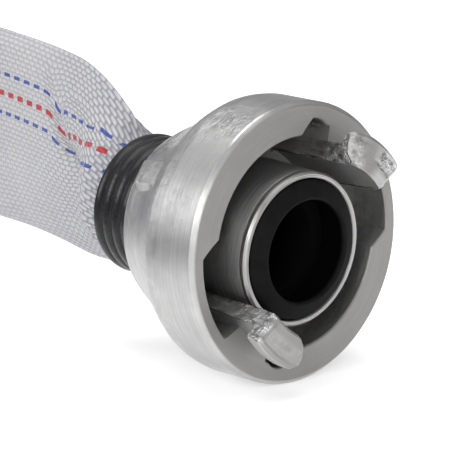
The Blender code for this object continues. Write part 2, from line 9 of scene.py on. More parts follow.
import bpy
from mathutils import Matrix, Vector, noise
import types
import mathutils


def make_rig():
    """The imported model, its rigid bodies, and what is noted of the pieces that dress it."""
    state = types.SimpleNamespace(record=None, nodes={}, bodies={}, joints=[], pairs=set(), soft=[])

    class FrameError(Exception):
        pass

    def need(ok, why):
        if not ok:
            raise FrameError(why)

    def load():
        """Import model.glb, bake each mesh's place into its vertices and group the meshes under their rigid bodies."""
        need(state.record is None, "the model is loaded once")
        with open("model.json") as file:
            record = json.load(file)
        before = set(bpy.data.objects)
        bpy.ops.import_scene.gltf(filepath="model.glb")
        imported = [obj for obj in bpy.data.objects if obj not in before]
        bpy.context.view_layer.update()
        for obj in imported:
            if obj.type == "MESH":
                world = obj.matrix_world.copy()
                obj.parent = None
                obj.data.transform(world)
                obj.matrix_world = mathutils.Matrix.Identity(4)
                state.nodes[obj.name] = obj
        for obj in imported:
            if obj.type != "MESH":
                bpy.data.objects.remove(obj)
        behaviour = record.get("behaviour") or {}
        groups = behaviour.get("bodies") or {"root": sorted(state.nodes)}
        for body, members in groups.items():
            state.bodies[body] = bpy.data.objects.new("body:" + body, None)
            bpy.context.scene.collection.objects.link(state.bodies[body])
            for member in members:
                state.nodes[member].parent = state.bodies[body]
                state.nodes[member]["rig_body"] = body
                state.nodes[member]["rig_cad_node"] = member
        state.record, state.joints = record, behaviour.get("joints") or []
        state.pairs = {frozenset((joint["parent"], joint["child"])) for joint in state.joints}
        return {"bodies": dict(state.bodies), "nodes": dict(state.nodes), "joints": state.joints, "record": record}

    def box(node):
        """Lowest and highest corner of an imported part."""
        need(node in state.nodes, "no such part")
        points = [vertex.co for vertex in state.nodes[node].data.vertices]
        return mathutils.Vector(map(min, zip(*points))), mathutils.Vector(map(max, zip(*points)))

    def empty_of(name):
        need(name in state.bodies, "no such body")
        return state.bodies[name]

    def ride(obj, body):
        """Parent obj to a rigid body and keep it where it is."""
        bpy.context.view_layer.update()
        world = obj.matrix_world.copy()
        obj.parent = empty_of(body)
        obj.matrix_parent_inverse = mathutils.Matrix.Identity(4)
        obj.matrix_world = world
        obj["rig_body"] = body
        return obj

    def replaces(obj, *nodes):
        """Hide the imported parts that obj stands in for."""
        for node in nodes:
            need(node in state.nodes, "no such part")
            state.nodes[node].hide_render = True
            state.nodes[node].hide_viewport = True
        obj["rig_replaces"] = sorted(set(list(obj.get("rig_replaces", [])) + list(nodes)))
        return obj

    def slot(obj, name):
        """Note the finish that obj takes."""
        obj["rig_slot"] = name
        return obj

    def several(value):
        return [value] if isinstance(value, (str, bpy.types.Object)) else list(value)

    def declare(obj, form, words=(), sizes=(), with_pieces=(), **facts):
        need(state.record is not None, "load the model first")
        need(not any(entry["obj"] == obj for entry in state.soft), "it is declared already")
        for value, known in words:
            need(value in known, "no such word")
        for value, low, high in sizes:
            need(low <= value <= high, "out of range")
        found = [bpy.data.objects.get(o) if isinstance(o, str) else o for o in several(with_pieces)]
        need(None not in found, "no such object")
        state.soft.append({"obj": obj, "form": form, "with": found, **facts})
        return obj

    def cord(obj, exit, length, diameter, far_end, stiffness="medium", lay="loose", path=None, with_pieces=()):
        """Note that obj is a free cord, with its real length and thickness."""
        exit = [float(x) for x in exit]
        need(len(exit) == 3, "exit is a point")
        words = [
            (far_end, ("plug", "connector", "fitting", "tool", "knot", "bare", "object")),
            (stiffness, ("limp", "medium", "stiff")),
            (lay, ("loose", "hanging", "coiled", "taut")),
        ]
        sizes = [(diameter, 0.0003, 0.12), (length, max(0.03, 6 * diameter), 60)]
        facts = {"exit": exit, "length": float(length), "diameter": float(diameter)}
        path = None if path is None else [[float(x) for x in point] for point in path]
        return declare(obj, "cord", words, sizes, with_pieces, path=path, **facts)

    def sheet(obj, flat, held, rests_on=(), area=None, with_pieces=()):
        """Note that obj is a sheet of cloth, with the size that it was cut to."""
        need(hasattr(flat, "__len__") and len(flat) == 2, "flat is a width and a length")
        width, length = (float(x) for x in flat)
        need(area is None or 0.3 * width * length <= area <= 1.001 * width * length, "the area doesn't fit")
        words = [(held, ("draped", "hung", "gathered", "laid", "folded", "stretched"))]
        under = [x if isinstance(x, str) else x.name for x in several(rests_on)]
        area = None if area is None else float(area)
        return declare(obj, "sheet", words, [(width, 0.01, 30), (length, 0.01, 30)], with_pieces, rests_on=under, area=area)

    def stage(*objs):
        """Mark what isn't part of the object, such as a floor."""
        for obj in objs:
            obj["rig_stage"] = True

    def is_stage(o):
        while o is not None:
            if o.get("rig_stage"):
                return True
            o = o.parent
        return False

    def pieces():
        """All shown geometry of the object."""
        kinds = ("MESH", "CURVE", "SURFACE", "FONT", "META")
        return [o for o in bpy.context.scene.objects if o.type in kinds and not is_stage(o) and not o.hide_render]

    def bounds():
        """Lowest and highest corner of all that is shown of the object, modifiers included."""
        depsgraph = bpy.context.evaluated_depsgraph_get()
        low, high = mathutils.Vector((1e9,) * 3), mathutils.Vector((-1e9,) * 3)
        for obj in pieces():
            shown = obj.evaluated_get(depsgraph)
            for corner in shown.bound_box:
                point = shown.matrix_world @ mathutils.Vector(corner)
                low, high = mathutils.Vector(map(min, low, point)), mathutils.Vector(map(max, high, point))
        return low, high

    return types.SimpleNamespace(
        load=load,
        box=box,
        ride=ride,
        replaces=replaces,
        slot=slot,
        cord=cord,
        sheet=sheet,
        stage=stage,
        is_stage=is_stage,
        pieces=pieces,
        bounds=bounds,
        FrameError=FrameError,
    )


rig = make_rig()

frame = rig.load()
CAD_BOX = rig.bounds()

# Where the couplings and the roll are.
LUG_TIP = 0.0090
NEAR_LOW, NEAR_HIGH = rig.box("near_lug_ring")
FAR_LOW, FAR_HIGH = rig.box("far_lug_ring")
NEAR_FACE = Vector((NEAR_HIGH.x - LUG_TIP, (NEAR_LOW.y + NEAR_HIGH.y) / 2, (NEAR_LOW.z + NEAR_HIGH.z) / 2))
FAR_FACE = Vector((FAR_LOW.x + LUG_TIP, (FAR_LOW.y + FAR_HIGH.y) / 2, (FAR_LOW.z + FAR_HIGH.z) / 2))
ROLL_LOW, ROLL_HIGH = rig.box("hose_roll")
ROLL_CENTRE = Vector(((ROLL_LOW.x + ROLL_HIGH.x) / 2, (ROLL_LOW.y + ROLL_HIGH.y) / 2, 0.0))
ROLL_RADIUS = (ROLL_HIGH.x - ROLL_LOW.x) / 2
ROLL_MIDDLE_Z = (ROLL_LOW.z + ROLL_HIGH.z) / 2

# The hose and its route, as the design has them.
HOSE_LENGTH = 15.0
HOSE_OUTSIDE = 0.028
HOSE_WIDTH = ROLL_HIGH.z - ROLL_LOW.z
HOSE_THICKNESS = 0.0094
BEND_START_X = 0.010
BEND_RADIUS = 0.060
FLAT_AFTER = 0.060
WHOLE_TURNS = 15
NEAR_RISE = 0.0111
RISE_LENGTH = 0.020
NEAR_FLAT_AFTER = 0.020
NEAR_WIDTH = 0.0402
DROP_START_X = 0.155
DROP_END_X = 0.010
SETTLED_AFTER = 0.080
GIRTH = math.pi * HOSE_OUTSIDE
CUFF_FRONT = -0.0303
CUFF_BACK = -0.0435
CUFF_LENGTH = CUFF_FRONT - CUFF_BACK
BEND_CENTRE = Vector((BEND_START_X, FAR_FACE.y - ROLL_CENTRE.y - BEND_RADIUS, 0.0))
FIRST_TURN_RADIUS = BEND_CENTRE.length + BEND_RADIUS
LAST_TURN_RADIUS = ROLL_RADIUS - HOSE_THICKNESS / 2
BEND_EXIT = math.atan2(BEND_CENTRE.y, BEND_CENTRE.x)
TURNS = WHOLE_TURNS - (math.pi / 2 - BEND_EXIT) / math.tau
NEAR_LEAD = NEAR_FACE.x - ROLL_CENTRE.x + CUFF_FRONT
FAR_LEAD = BEND_START_X - (FAR_FACE.x - ROLL_CENTRE.x) + CUFF_FRONT
BEND_LENGTH = BEND_RADIUS * (math.pi / 2 - BEND_EXIT)
SPIRAL_LENGTH = HOSE_LENGTH - NEAR_LEAD - BEND_LENGTH - FAR_LEAD

# A tail stands in its ring with a little play, so its mouth hangs and its back lifts.
TAIL_DROOP = math.radians(2.8)
TAIL_PIVOT = -0.0193
NEAR_TURN = Matrix(((0, 0, 1), (1, 0, 0), (0, 1, 0))).to_4x4()
FAR_TURN = Matrix(((0, 0, -1), (-1, 0, 0), (0, 1, 0))).to_4x4()
RINGS = {
    "near": Matrix.Translation(NEAR_FACE) @ NEAR_TURN,
    "far": Matrix.Translation(FAR_FACE) @ FAR_TURN,
}
DROOP = (
    Matrix.Translation((0.0, 0.0, TAIL_PIVOT))
    @ Matrix.Rotation(TAIL_DROOP, 4, "X")
    @ Matrix.Translation((0.0, 0.0, -TAIL_PIVOT))
)
TAILS = {end: place @ DROOP for end, place in RINGS.items()}
MM = 0.001


# ---- helpers


def smooth(low, high, value):
    """0 below low, 1 above high, and an even ease between them."""
    t = min(1.0, max(0.0, (value - low) / (high - low)))
    return t * t * (3 - 2 * t)


def ramp(low, high, value):
    return min(1.0, max(0.0, (value - low) / (high - low)))


def mix(a, b, amount):
    return a + (b - a) * amount


def window(start, full_start, full_end, end, value):
    """Rises from start to full_start, stays at 1, and falls from full_end to end."""
    return ramp(start, full_start, value) * (1 - ramp(full_end, end, value))


def eased_window(start, full_start, full_end, end, value):
    """The same, with an even ease at both ends."""
    return smooth(start, full_start, value) * (1 - smooth(full_end, end, value))


def pick(points, value):
    """Reads a curve given as (position, value) points, straight between them."""
    if value <= points[0][0]:
        return points[0][1]
    for (x0, y0), (x1, y1) in zip(points, points[1:]):
        if value <= x1:
            return mix(y0, y1, (value - x0) / (x1 - x0))
    return points[-1][1]


def grid_faces(rows, columns, close_rows, close_columns):
    """Quads between the points of a grid that is stored row by row."""
    faces = []
    for i in range(rows if close_rows else rows - 1):
        for j in range(columns if close_columns else columns - 1):
            k = (i + 1) % rows
            m = (j + 1) % columns
            faces.append((i * columns + j, k * columns + j, k * columns + m, i * columns + m))
    return faces


def make_object(name, points, faces, material, sharp_deg=35.0, flip=False):
    mesh = bpy.data.meshes.new(name)
    mesh.from_pydata(points, [], faces)
    if flip:
        mesh.flip_normals()
    mesh.materials.append(material)
    mesh.shade_smooth()
    mesh.set_sharp_from_angle(angle=math.radians(sharp_deg))
    obj = bpy.data.objects.new(name, mesh)
    bpy.context.scene.collection.objects.link(obj)
    return obj


def store(mesh, name, kind, values, domain="POINT"):
    """Keeps one value a point, or a face's corner, on the mesh, for its material to read."""
    attribute = mesh.attributes.new(name, kind, domain)
    if kind == "FLOAT":
        attribute.data.foreach_set("value", values)
    else:
        attribute.data.foreach_set("vector", [number for value in values for number in value])


def lathe_place(radius, angle, z):
    """Where a point lies for turning marks: along its profile, and round the axis."""
    return (radius + 1.7 * z, math.cos(angle) * MM, math.sin(angle) * MM)


def settle(obj, place, body, slot, stands_for):
    """Puts a coupling piece in its place, on its body, for the node that it stands for."""
    obj.matrix_world = place
    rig.ride(obj, body)
    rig.slot(obj, slot)
    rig.replaces(obj, stands_for)


# ---- materials


def node(tree, kind, inputs=None, **settings):
    """A shader node. An input given as a socket is linked, and any other value is set."""
    made = tree.nodes.new(kind)
    for name, value in settings.items():
        setattr(made, name, value)
    for name, value in (inputs or {}).items():
        if isinstance(value, bpy.types.NodeSocket):
            tree.links.new(value, made.inputs[name])
        else:
            made.inputs[name].default_value = value
    return made


def maths(tree, operation, first, second=0.0, third=0.0):
    made = node(tree, "ShaderNodeMath", {0: first, 1: second, 2: third}, operation=operation)
    return made.outputs[0]


def blend_colour(tree, amount, first, second, mode="MIX"):
    made = node(tree, "ShaderNodeMix", data_type="RGBA", blend_type=mode)
    for index, value in ((0, amount), (6, first), (7, second)):
        if isinstance(value, bpy.types.NodeSocket):
            tree.links.new(value, made.inputs[index])
        else:
            made.inputs[index].default_value = value
    return made.outputs[2]


def steps(tree, value, *stops):
    """A grey ramp through (position, level) stops."""
    made = node(tree, "ShaderNodeValToRGB", {0: value})
    elements = made.color_ramp.elements
    while len(elements) < len(stops):
        elements.new(0.5)
    for element, (position, level) in zip(elements, stops):
        element.position = position
        element.color = (level, level, level, 1.0)
    return made.outputs[0]


def two_tone(tree, value, low, high, dark, pale):
    """Dark where the value is under low, and pale where it is over high."""
    return blend_colour(tree, steps(tree, value, (low, 0.0), (high, 1.0)), dark, pale)


def attribute(tree, name, output="Fac"):
    return node(tree, "ShaderNodeAttribute", attribute_name=name).outputs[output]


def noise_of(tree, vector, scale, detail=3.0, roughness=0.55):
    inputs = {"Vector": vector, "Scale": scale, "Detail": detail, "Roughness": roughness}
    return node(tree, "ShaderNodeTexNoise", inputs).outputs[0]


def stretched(tree, vector, scale):
    return node(tree, "ShaderNodeMapping", {"Vector": vector, "Scale": scale}).outputs[0]


def bump(tree, height, distance, strength=1.0, normal=None):
    inputs = {"Height": height, "Distance": distance, "Strength": strength}
    if normal is not None:
        inputs["Normal"] = normal
    return node(tree, "ShaderNodeBump", inputs).outputs[0]


def new_material(name, **values):
    """A Principled material with these values, its tree and its object coordinates."""
    material = bpy.data.materials.new(name)
    material.use_nodes = True
    tree = material.node_tree
    for key, value in values.items():
        tree.nodes["Principled BSDF"].inputs[key.replace("_", " ")].default_value = value
    place = node(tree, "ShaderNodeTexCoord").outputs["Object"]
    return material, tree, place


def finish_material(material, **sockets):
    """Links these sockets to the material's shader."""
    tree = material.node_tree
    for key, value in sockets.items():
        tree.links.new(value, tree.nodes["Principled BSDF"].inputs[key.replace("_", " ")])
    return material


def cast_alloy():
    """Cast aluminium: turned where it was machined, and rough and mottled where it was not, darkened by painted shade
    in its hollows, on its front face and on the lug tops.
    """
    material, tree, place = new_material("cast_alloy", Metallic=1.0)
    lathe = attribute(tree, "lathe", "Vector")
    cast = attribute(tree, "cast")
    # painted_shade is painted shade: the chamber, the bore and the back darker, and the front face and the lug tops
    # dimmed against the light.
    painted_shade = attribute(tree, "painted_shade")
    fine = noise_of(tree, stretched(tree, lathe, (9000.0, 4000.0, 4000.0)), 1.0, 4.0, 0.7)
    broad = noise_of(tree, stretched(tree, lathe, (1500.0, 1400.0, 1400.0)), 1.0, 3.0, 0.6)
    mottle = noise_of(tree, place, 130.0, 5.0, 0.62)
    grain = noise_of(tree, place, 1500.0, 4.0, 0.65)
    pits = noise_of(tree, place, 620.0, 5.0, 0.62)

    clean = two_tone(tree, mottle, 0.3, 0.72, (0.46, 0.46, 0.46, 1), (0.62, 0.62, 0.62, 1))
    streaked = blend_colour(tree, steps(tree, broad, (0.3, 0.55), (0.7, 0.0)), clean, (0.33, 0.325, 0.32, 1))
    rough_tone = two_tone(tree, pits, 0.35, 0.65, (0.16, 0.156, 0.152, 1), (0.84, 0.84, 0.84, 1))
    with_cast = blend_colour(tree, cast, streaked, rough_tone)
    # Painted shade: the dark colour that the painted_shade attribute blends towards.
    colour = blend_colour(tree, painted_shade, with_cast, (0.31, 0.30, 0.29, 1))

    turned_rough = maths(tree, "MULTIPLY_ADD", fine, 0.22, 0.24)
    cast_rough = maths(tree, "MULTIPLY_ADD", mottle, 0.12, 0.06)
    roughness = maths(tree, "ADD", maths(tree, "MULTIPLY", turned_rough, maths(tree, "SUBTRACT", 1.0, cast)),
                      maths(tree, "MULTIPLY", cast_rough, cast))
    rougher = maths(tree, "MULTIPLY_ADD", painted_shade, 0.25, roughness)

    turned_height = maths(tree, "MULTIPLY", maths(tree, "SUBTRACT", 1.0, cast), fine)
    cast_height = maths(tree, "MULTIPLY", cast, maths(tree, "ADD", pits, maths(tree, "MULTIPLY", grain, 0.5)))
    first = bump(tree, turned_height, 0.00008, 0.9)
    normal = bump(tree, cast_height, 0.0008, 1.0, first)
    return finish_material(material, Base_Color=colour, Roughness=rougher, Normal=normal)


def turned_alloy():
    """Turned aluminium, with the tool's fine rings on it, and painted shade that makes it dark and dull towards the
    inside.
    """
    material, tree, place = new_material("turned_alloy", Metallic=1.0)
    lathe = attribute(tree, "lathe", "Vector")
    painted_shade = attribute(tree, "painted_shade")
    rings = noise_of(tree, stretched(tree, lathe, (5200.0, 900.0, 900.0)), 1.0, 3.0, 0.65)
    mottle = noise_of(tree, place, 220.0, 4.0, 0.6)
    clean = two_tone(tree, rings, 0.32, 0.68, (0.26, 0.255, 0.25, 1), (0.52, 0.515, 0.51, 1))
    # Painted shade: near black deep inside the tail.
    colour = blend_colour(tree, painted_shade, clean, (0.012, 0.011, 0.011, 1))
    roughness = maths(tree, "MULTIPLY_ADD", mottle, 0.2, 0.24)
    rougher = maths(tree, "MULTIPLY_ADD", painted_shade, 0.5, roughness)
    normal = bump(tree, rings, 0.00012, 0.9)
    return finish_material(material, Base_Color=colour, Roughness=rougher, Normal=normal)


def seal_rubber():
    material, tree, place = new_material("seal_rubber", Specular_IOR_Level=0.07)
    mottle = noise_of(tree, place, 340.0, 4.0, 0.6)
    grain = noise_of(tree, place, 2600.0, 2.0, 0.5)
    face = two_tone(tree, mottle, 0.3, 0.7, (0.004, 0.004, 0.0043, 1), (0.008, 0.008, 0.0087, 1))
    # Painted shade: near black in the seal's hole.
    colour = blend_colour(tree, attribute(tree, "painted_shade"), face, (0.001, 0.001, 0.001, 1))
    roughness = maths(tree, "MULTIPLY_ADD", mottle, 0.2, 0.5)
    normal = bump(tree, grain, 0.00003, 0.6)
    return finish_material(material, Base_Color=colour, Roughness=roughness, Normal=normal)


def binding_plastic():
    """The glossy black sleeve shrunk over the binding wire."""
    material, tree, place = new_material("binding_sleeve", Specular_IOR_Level=0.3)
    waves = noise_of(tree, stretched(tree, place, (260.0, 260.0, 120.0)), 1.0, 3.0, 0.5)
    grain = noise_of(tree, place, 1800.0, 2.0, 0.5)
    colour = two_tone(tree, waves, 0.3, 0.7, (0.006, 0.006, 0.007, 1), (0.014, 0.014, 0.016, 1))
    roughness = maths(tree, "MULTIPLY_ADD", grain, 0.2, 0.2)
    normal = bump(tree, waves, 0.0004, 0.7)
    return finish_material(material, Base_Color=colour, Roughness=roughness, Normal=normal)


def mottled_material(name, scale, dark, pale, smoothest, depth, **values):
    """A material with one fine mottle in its colour, gloss and surface."""
    material, tree, place = new_material(name, **values)
    mottle = noise_of(tree, place, scale, 3.0, 0.6)
    colour = blend_colour(tree, mottle, dark, pale)
    roughness = maths(tree, "MULTIPLY_ADD", mottle, 0.2, smoothest)
    normal = bump(tree, mottle, depth)
    return finish_material(material, Base_Color=colour, Roughness=roughness, Normal=normal)


def bright_wire(name, tone):
    dark = (tone * 0.7, tone * 0.69, tone * 0.68, 1)
    return mottled_material(name, 500.0, dark, (tone, tone, tone, 1), 0.22, 0.00003, Metallic=1.0)


def hose_lining():
    dark = (0.005, 0.005, 0.005, 1)
    pale = (0.012, 0.012, 0.012, 1)
    return mottled_material("hose_lining", 400.0, dark, pale, 0.5, 0.00005)


WARP_PITCH = GIRTH / 88
KNUCKLE_LENGTH = 0.00155
DRAWN_ROWS = 2.6
DRAWN_LENGTH = 0.014
# Each tracer's place round the hose from the first, its dye, its half width and its shift along the hose.
TRACERS = (
    (0.0, (0.012, 0.055, 0.32, 1), 0.00040, 0.0),
    (0.0041, (0.44, 0.004, 0.012, 1), 0.00058, 0.45),
    (0.0083, (0.012, 0.055, 0.32, 1), 0.00040, 0.2),
)


def woven_jacket():
    """The woven polyester jacket: rows of raised picks with painted shade between them, and three dyed tracers that
    dip in and out.
    """
    material, tree, place = new_material("woven_jacket", Sheen_Weight=0.12, Sheen_Roughness=0.5)
    counted = attribute(tree, "row")
    around = attribute(tree, "around")
    strip = attribute(tree, "strip")
    wander = noise_of(tree, place, 160.0, 3.0, 0.5)
    soft = noise_of(tree, place, 45.0, 3.0, 0.5)
    fuzz = noise_of(tree, place, 3500.0, 2.0, 0.6)

    column = maths(tree, "DIVIDE", around, WARP_PITCH)
    across = maths(tree, "SUBTRACT", maths(tree, "FRACT", column), 0.5)
    odd = maths(tree, "MODULO", maths(tree, "FLOOR", column), 2.0)
    drift = maths(tree, "MULTIPLY", maths(tree, "SUBTRACT", wander, 0.5), 0.5)
    row = maths(tree, "ADD", counted, maths(tree, "MULTIPLY_ADD", odd, 0.5, drift))
    turns = maths(tree, "MULTIPLY", row, math.tau)
    wave = maths(tree, "MULTIPLY_ADD", maths(tree, "COSINE", turns), 0.5, 0.5)
    squared = maths(tree, "MULTIPLY", across, across)
    crown = maths(tree, "SUBTRACT", 1.0, maths(tree, "MULTIPLY", squared, 4.0))
    knuckle = maths(tree, "MULTIPLY", crown, maths(tree, "POWER", wave, 0.6))

    pale = two_tone(tree, soft, 0.35, 0.65, (0.485, 0.485, 0.522, 1), (0.555, 0.555, 0.57, 1))
    gap_shade = steps(tree, knuckle, (0.05, 1.0), (0.45, 0.0))
    # Painted shade in the gaps between the knuckles, darkest where the cloth is drawn in behind the near coupling.
    contrast = steps(tree, maths(tree, "MULTIPLY", counted, 0.01), (0.12, 0.85), (0.26, 0.40))
    cloth = blend_colour(tree, maths(tree, "MULTIPLY", gap_shade, contrast), pale, (0.22, 0.215, 0.26, 1))
    colour = cloth
    for offset, dye, half_width, shift in TRACERS:
        distance = maths(tree, "ABSOLUTE", maths(tree, "SUBTRACT", strip, offset))
        near = maths(tree, "LESS_THAN", distance, half_width)
        period = maths(tree, "MULTIPLY_ADD", counted, 0.5, shift)
        phase = maths(tree, "FRACT", period)
        dash = maths(tree, "LESS_THAN", maths(tree, "ABSOLUTE", maths(tree, "SUBTRACT", phase, 0.5)), 0.29)
        shown = maths(tree, "MULTIPLY", near, dash)
        colour = blend_colour(tree, maths(tree, "MULTIPLY", shown, 0.92), colour, dye)
    roughness = maths(tree, "MULTIPLY_ADD", fuzz, 0.2, 0.62)
    first = bump(tree, knuckle, 0.00042, 0.9)
    normal = bump(tree, fuzz, 0.00006, 0.6, first)
    return finish_material(material, Base_Color=colour, Roughness=roughness, Normal=normal)


def tie_webbing():
    """Flat black webbing with a fine plain weave."""
    material, tree, place = new_material("tie_webbing", Sheen_Weight=0.3, Sheen_Roughness=0.4)
    along = attribute(tree, "along")
    around = attribute(tree, "around")
    warp = maths(tree, "SINE", maths(tree, "MULTIPLY", around, math.tau / 0.0016))
    weft = maths(tree, "SINE", maths(tree, "MULTIPLY", along, math.tau / 0.0024))
    weave = maths(tree, "MULTIPLY_ADD", maths(tree, "MULTIPLY", warp, weft), 0.5, 0.5)
    mottle = noise_of(tree, place, 300.0, 3.0, 0.6)
    base = blend_colour(tree, mottle, (0.012, 0.013, 0.016, 1), (0.03, 0.032, 0.038, 1))
    colour = blend_colour(tree, maths(tree, "MULTIPLY", weave, 0.5), base, (0.06, 0.062, 0.07, 1))
    roughness = maths(tree, "MULTIPLY_ADD", mottle, 0.2, 0.6)
    return finish_material(material, Base_Color=colour, Roughness=roughness, Normal=bump(tree, weave, 0.0003))


def pale_floor():
    glow = {"Emission_Color": (1.0, 1.0, 1.0, 1.0), "Emission_Strength": 0.42}
    return new_material("pale_floor", Base_Color=(0.9, 0.9, 0.9, 1), Roughness=0.9, **glow)[0]


MATERIALS = {
    "cast_alloy": cast_alloy(),
    "turned_alloy": turned_alloy(),
    "seal_rubber": seal_rubber(),
    "binding_sleeve": binding_plastic(),
    "spring_steel": bright_wire("spring_steel", 0.55),
    "binding_wire": bright_wire("binding_wire", 0.72),
    "hose_lining": hose_lining(),
    "woven_jacket": woven_jacket(),
    "tie_webbing": tie_webbing(),
}


# ---- camera and studio

VIEW_TURN = math.radians(43.47)
VIEW_RISE = math.radians(13.0)
VIEW_DISTANCE = 0.6
VIEW_LENS = 241.7
VIEW_AIM = Vector((-0.019, 0.0, -0.0003))
FLOOR_SIDE = 30.0
# Each light's name, place, size and power in watts.
LIGHTS = (
    ("front_softbox", (1.15, -0.95, 0.62), (0.4, 0.5), 9.5),
    ("left_softbox", (-1.05, -1.15, 0.75), (0.9, 0.9), 12.5),
    ("top_softbox", (0.1, 0.15, 1.5), (1.2, 1.2), 12.0),
)


def make_camera():
    target = NEAR_FACE + VIEW_AIM
    level = Vector((math.cos(VIEW_TURN), -math.sin(VIEW_TURN), 0.0)) * math.cos(VIEW_RISE)
    towards = level + Vector((0.0, 0.0, math.sin(VIEW_RISE)))
    data = bpy.data.cameras.new("camera")
    data.lens = VIEW_LENS
    data.sensor_width = 36.0
    data.clip_start = 0.01
    camera = bpy.data.objects.new("camera", data)
    camera.location = target + towards * VIEW_DISTANCE
    camera.rotation_euler = (-towards).to_track_quat("-Z", "Y").to_euler()
    bpy.context.scene.collection.objects.link(camera)
    bpy.context.scene.camera = camera


def make_light(name, place, size, watts):
    data = bpy.data.lights.new(name, "AREA")
    data.shape = "RECTANGLE"
    data.size, data.size_y = size
    data.energy = watts
    light = bpy.data.objects.new(name, data)
    light.location = place
    light.rotation_euler = (NEAR_FACE - Vector(place)).to_track_quat("-Z", "Y").to_euler()
    bpy.context.scene.collection.objects.link(light)


def make_studio():
    bpy.context.scene.view_settings.view_transform = "Standard"
    side = FLOOR_SIDE
    corners = [(-side, -side, 0.0), (side, -side, 0.0), (side, side, 0.0), (-side, side, 0.0)]
    floor = make_object("floor", corners, [(0, 1, 2, 3)], pale_floor())
    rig.stage(floor)
    world = bpy.data.worlds.new("studio")
    world.use_nodes = True
    tree = world.node_tree
    up = node(tree, "ShaderNodeSeparateXYZ", {0: node(tree, "ShaderNodeTexCoord").outputs["Generated"]})
    level = steps(tree, up.outputs["Z"], (0.0, 0.50), (0.22, 0.24), (0.6, 0.55), (1.0, 0.45))
    background = tree.nodes["Background"]
    tree.links.new(level, background.inputs["Color"])
    background.inputs["Strength"].default_value = 1.0
    bpy.context.scene.world = world
    for light in LIGHTS:
        make_light(*light)


# ---- the lug ring

RING_RADIUS = 27.5
CHAMFER = 0.9
LIP_RADIUS = 20.8
LIP_BACK = -6.0
CHAMBER_RADIUS = 24.4
NOTCH_RADIUS = 24.2
NOTCH_START_RADIUS = 23.3
ROOT_RADIUS = 24.0
CHAMBER_BACK = -14.2
BORE = 13.5
POCKET = 16.2
POCKET_BACK = -24.5
RING_BACK = -29.5
LUG_INNER = 16.9
LUG_OUTER = 20.4
LUG_HOOK = 23.5
HOOK_Z = 5.8
LUG_TOP = 8.9
LUG_FROM, LUG_TO = 30.0, 66.8
# The outside behind the band, as (z, radius) points.
CONE = (
    (-29.5, 18.2), (-27.0, 19.5), (-25.0, 20.35), (-23.0, 21.3), (-21.0, 22.4),
    (-19.0, 23.6), (-17.0, 24.8), (-15.0, 26.1), (-13.0, 27.15), (-11.0, 27.5),
)
BOSS = ((-25.0, 20.35), (-24.5, 22.6), (-23.2, 23.9), (-20.0, 24.8), (-16.0, 25.5), (-13.0, 27.15))
BOSS_AT = 145.5
BOSS_CREST = 5.6
BOSS_FOOT = 7.6
BAND_BACK = -11.0
# How much painted shade dims the front face, against the glare of the front light.
FACE_PAINTED_SHADE = 0.8
# noise_vector draws its own offset from the clock unless a seed is set. Any seed but 0 would do.
SKIN_SEED = 1
# The ring is two like halves. These are angles in degrees in each half, from the start of its opening.
HALF_START = -15.0
HALF_END = 165.0
MID_LUG = 50.0
OPENING = (-11.0, -2.0, 80.0, 87.0)
ROOT_FILL = (38.0, 38.9, 67.0, 67.9)
ENTRY_END = (34.0, 37.5, 40.0, 44.0)
NOTCH_START = (63.0, 66.5, 69.0, 73.0)
ENTRY_END_LEAN = 3.0
NOTCH_START_LEAN = 2.0
ROUGH_WALL = (66.0, 67.5, 97.0, 103.0)
BAND_SCAR = (104.0, 112.0, 122.0, 130.0)
CONE_SCAR = (110.0, 114.0, 128.0, 133.0)
SCAR_BY_HALF = (1.0, 0.15)
# Where the sections lie closer together, and how far apart they are there.
FINE_SPANS = ((28.5, 42.5, 0.3), (62.0, 70.0, 0.3), (134.0, 152.0, 0.7))
# How far round a lug's ends lean, by height: the first end, then the last.
LEAN_START = ((-10.0, 0.0), (0.0, 2.4), (LUG_TOP, 4.2))
LEAN_END = ((0.0, 0.0), (LUG_TOP, 1.7))
LEAN_END_BY_RADIUS = ((17.0, 1.0), (18.6, 5.0), (20.8, 6.2), (23.5, 5.0))


def leg(start, end, count):
    """Evenly spaced (radius, z) points from start up to, and not at, end."""
    return [(mix(start[0], end[0], i / count), mix(start[1], end[1], i / count)) for i in range(count)]


def outside_points(side, s):
    """The chamfer, the band, the cone with its bosses, the back and the bore."""
    points = []
    for radius, z in leg((RING_RADIUS - CHAMFER, 0.0), (RING_RADIUS, -CHAMFER), 3):
        points.append((radius, z, 0.0, 0.0, 0.0 if points else FACE_PAINTED_SHADE))
    worn = 0.3 * window(*BAND_SCAR, s) * SCAR_BY_HALF[side]
    for radius, z in leg((RING_RADIUS, -CHAMFER), (RING_RADIUS, BAND_BACK), 9):
        points.append((radius, z, 0.0, worn, 0.0))
    boss = window(BOSS_AT - BOSS_FOOT, BOSS_AT - BOSS_CREST, BOSS_AT + BOSS_CREST, BOSS_AT + BOSS_FOOT, s)
    for _, z in leg((0.0, BAND_BACK), (0.0, RING_BACK), 34):
        plain = pick(CONE, z)
        raised = max(plain, pick(BOSS, z)) if z > BOSS[0][0] else plain
        cast = mix(0.12, 0.20, boss) + 0.4 * window(*CONE_SCAR, s) * ramp(-13.0, -16.0, z)
        points.append((mix(plain, raised, boss), z, 0.0, cast, 0.0))
    inner = (
        leg((18.2, RING_BACK), (POCKET, RING_BACK), 3)
        + leg((POCKET, RING_BACK), (POCKET, POCKET_BACK), 3)
        + leg((POCKET, POCKET_BACK), (BORE, POCKET_BACK), 3)
        + leg((BORE, POCKET_BACK), (BORE, CHAMBER_BACK), 5)
        + leg((BORE, CHAMBER_BACK), (LUG_INNER, CHAMBER_BACK), 5)
    )
    # Painted shade darkens the ring's back end, its pocket, its bore and the chamber's floor.
    return points + [(radius, z, 0.0, 0.0, 0.75) for radius, z in inner]


